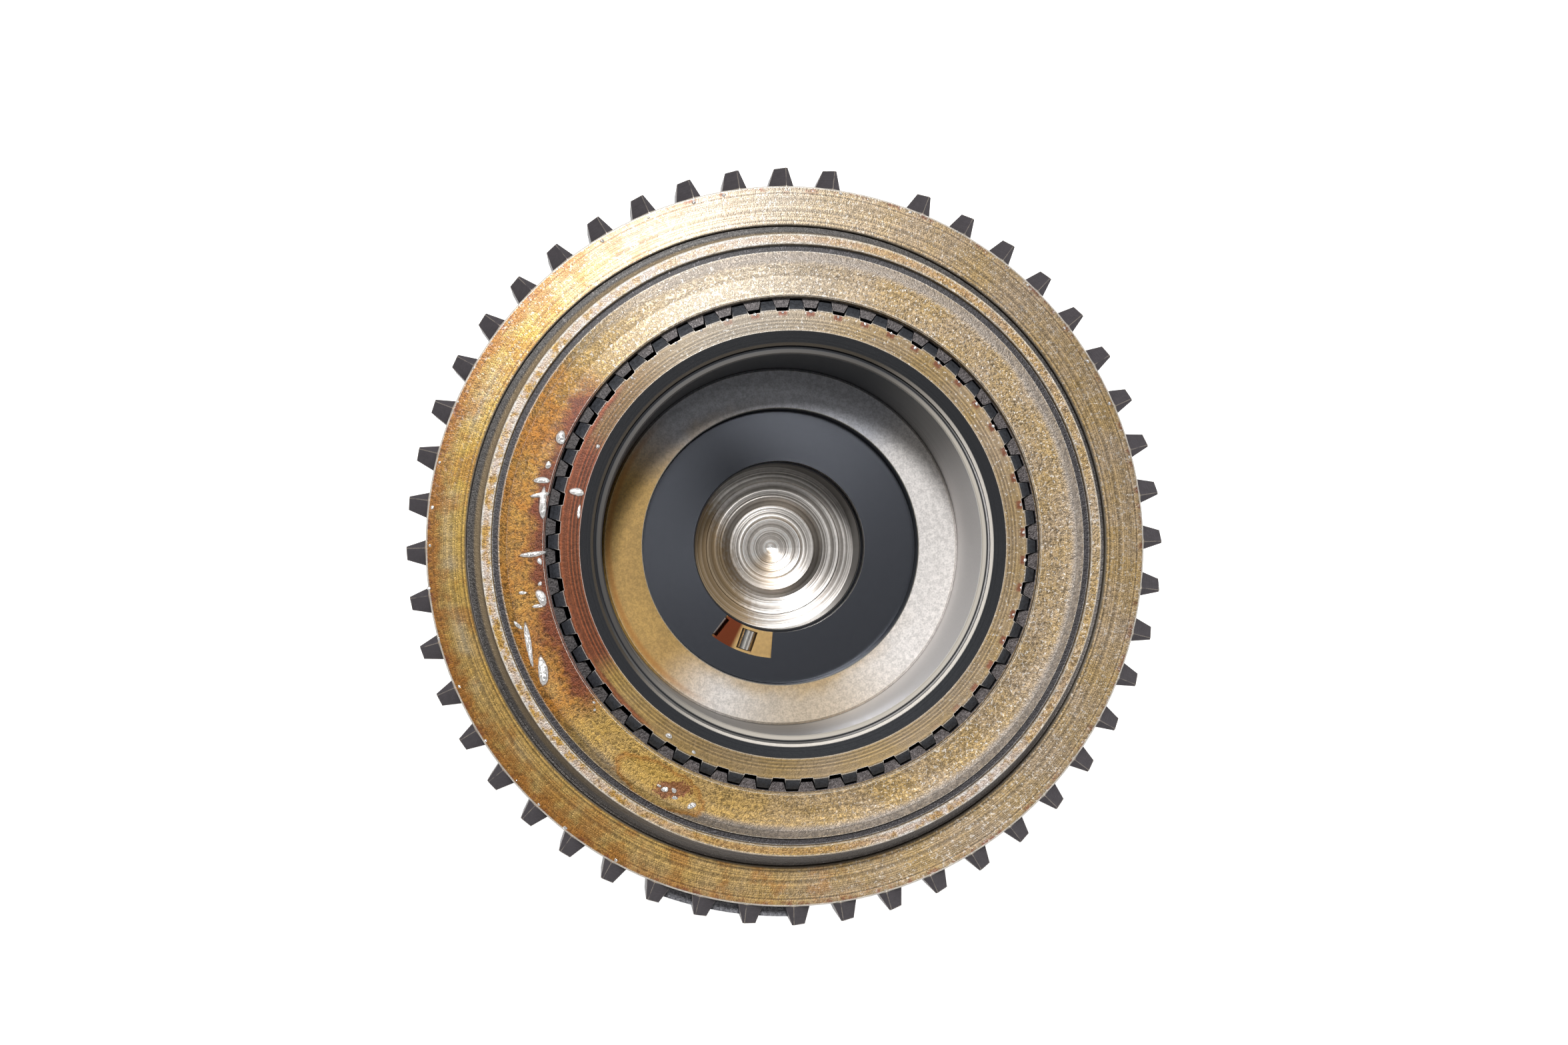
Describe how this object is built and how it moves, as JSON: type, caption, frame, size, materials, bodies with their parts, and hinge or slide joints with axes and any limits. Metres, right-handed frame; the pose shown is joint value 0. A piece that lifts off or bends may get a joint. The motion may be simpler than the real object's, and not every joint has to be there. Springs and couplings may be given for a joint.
{
  "type": "planetary gear set",
  "caption": "Epicyclic gear set: dog-toothed ring gear with a splined hub, planet carrier and sun gear on roller bearings, its front bore open down to the sun.",
  "frame": {"origin": "on the gear axis, at the end face of the carrier's output hub, which the set stands on", "axes": "+Z along the gear axis from the output hub to the dog-toothed front; +X from the axis through the middle between two planets; +Y completes a right-handed frame and points to twelve o'clock of the front"},
  "size_m": [0.15, 0.15, 0.1],
  "materials": {
    "ring_steel": "turned steel with an amber oil film, teeth dark and satin",
    "flange_steel": "turned steel with an amber oil film",
    "snap_ring_steel": "blued spring steel, satin",
    "hub_steel": "turned steel with an amber oil film",
    "bush_metal": "satin bearing metal",
    "carrier_steel": "satin machined steel",
    "fastener_steel": "black oxide",
    "sun_steel": "bright turned steel",
    "planet_steel": "ground steel",
    "race_steel": "ground bearing steel",
    "roller_steel": "polished bearing steel",
    "cage_steel": "pressed steel with an amber oil film",
    "coated_race": "black phosphate under oil, satin",
    "washer_bronze": "satin bronze"
  },
  "bodies": {
    "carrier": {"carrier_front_plate": "carrier_steel", "carrier_rear_plate": "carrier_steel", "carrier_screws": "fastener_steel", "planet_pin_1": "planet_steel", "planet_pin_2": "planet_steel", "planet_pin_3": "planet_steel", "planet_pin_4": "planet_steel", "pin_lock_pins": "fastener_steel", "planet_washers_front": "washer_bronze", "planet_washers_rear": "washer_bronze", "carrier_bush": "washer_bronze", "hub_thrust_washer": "washer_bronze", "rear_thrust_race_carrier": "race_steel", "front_thrust_outer_race": "coated_race"},
    "ring": {"ring_gear": "ring_steel", "ring_gear_flange": "flange_steel", "flange_snap_ring": "snap_ring_steel", "ring_gear_hub": "hub_steel", "hub_lock_ring": "snap_ring_steel", "hub_bush": "bush_metal"},
    "sun": {"sun_gear": "sun_steel", "front_thrust_race": "race_steel", "rear_thrust_race_sun": "race_steel"},
    "planet_1": {"planet_gear_1": "planet_steel"},
    "needles_1": {"planet_needles_1": "roller_steel"},
    "planet_2": {"planet_gear_2": "planet_steel"},
    "needles_2": {"planet_needles_2": "roller_steel"},
    "planet_3": {"planet_gear_3": "planet_steel"},
    "needles_3": {"planet_needles_3": "roller_steel"},
    "planet_4": {"planet_gear_4": "planet_steel"},
    "needles_4": {"planet_needles_4": "roller_steel"},
    "front_bearing": {"front_thrust_cage": "cage_steel", "front_thrust_rollers": "roller_steel"},
    "rear_bearing": {"rear_thrust_cage": "cage_steel", "rear_thrust_rollers": "roller_steel"}
  },
  "joints": [
    {"name": "ring_spin", "type": "hinge", "parent": "carrier", "child": "ring", "pos_m": [0, 0, 0.08], "axis": [0, 0, 1], "continuous": true},
    {"name": "sun_spin", "type": "hinge", "parent": "carrier", "child": "sun", "pos_m": [0, 0, 0.04], "axis": [0, 0, 1], "continuous": true},
    {"name": "planet_1_spin", "type": "hinge", "parent": "carrier", "child": "planet_1", "pos_m": [0.0297, 0.0297, 0.0376], "axis": [0, 0, 1], "continuous": true},
    {"name": "needles_1_spin", "type": "hinge", "parent": "carrier", "child": "needles_1", "pos_m": [0.0297, 0.0297, 0.0376], "axis": [0, 0, 1], "continuous": true},
    {"name": "planet_2_spin", "type": "hinge", "parent": "carrier", "child": "planet_2", "pos_m": [-0.0297, 0.0297, 0.0376], "axis": [0, 0, 1], "continuous": true},
    {"name": "needles_2_spin", "type": "hinge", "parent": "carrier", "child": "needles_2", "pos_m": [-0.0297, 0.0297, 0.0376], "axis": [0, 0, 1], "continuous": true},
    {"name": "planet_3_spin", "type": "hinge", "parent": "carrier", "child": "planet_3", "pos_m": [-0.0297, -0.0297, 0.0376], "axis": [0, 0, 1], "continuous": true},
    {"name": "needles_3_spin", "type": "hinge", "parent": "carrier", "child": "needles_3", "pos_m": [-0.0297, -0.0297, 0.0376], "axis": [0, 0, 1], "continuous": true},
    {"name": "planet_4_spin", "type": "hinge", "parent": "carrier", "child": "planet_4", "pos_m": [0.0297, -0.0297, 0.0376], "axis": [0, 0, 1], "continuous": true},
    {"name": "needles_4_spin", "type": "hinge", "parent": "carrier", "child": "needles_4", "pos_m": [0.0297, -0.0297, 0.0376], "axis": [0, 0, 1], "continuous": true},
    {"name": "front_bearing_spin", "type": "hinge", "parent": "carrier", "child": "front_bearing", "pos_m": [0, 0, 0.06257], "axis": [0, 0, 1], "continuous": true},
    {"name": "rear_bearing_spin", "type": "hinge", "parent": "carrier", "child": "rear_bearing", "pos_m": [0, 0, 0.02367], "axis": [0, 0, 1], "continuous": true}
  ],
  "couplings": [
    {"joint": "sun_spin", "follows": "ring_spin", "ratio": -2.5},
    {"joint": "planet_1_spin", "follows": "ring_spin", "ratio": 3.3333},
    {"joint": "needles_1_spin", "follows": "ring_spin", "ratio": 1.9048},
    {"joint": "planet_2_spin", "follows": "ring_spin", "ratio": 3.3333},
    {"joint": "needles_2_spin", "follows": "ring_spin", "ratio": 1.9048},
    {"joint": "planet_3_spin", "follows": "ring_spin", "ratio": 3.3333},
    {"joint": "needles_3_spin", "follows": "ring_spin", "ratio": 1.9048},
    {"joint": "planet_4_spin", "follows": "ring_spin", "ratio": 3.3333},
    {"joint": "needles_4_spin", "follows": "ring_spin", "ratio": 1.9048},
    {"joint": "front_bearing_spin", "follows": "ring_spin", "ratio": -1.25},
    {"joint": "rear_bearing_spin", "follows": "ring_spin", "ratio": -1.25}
  ]
}
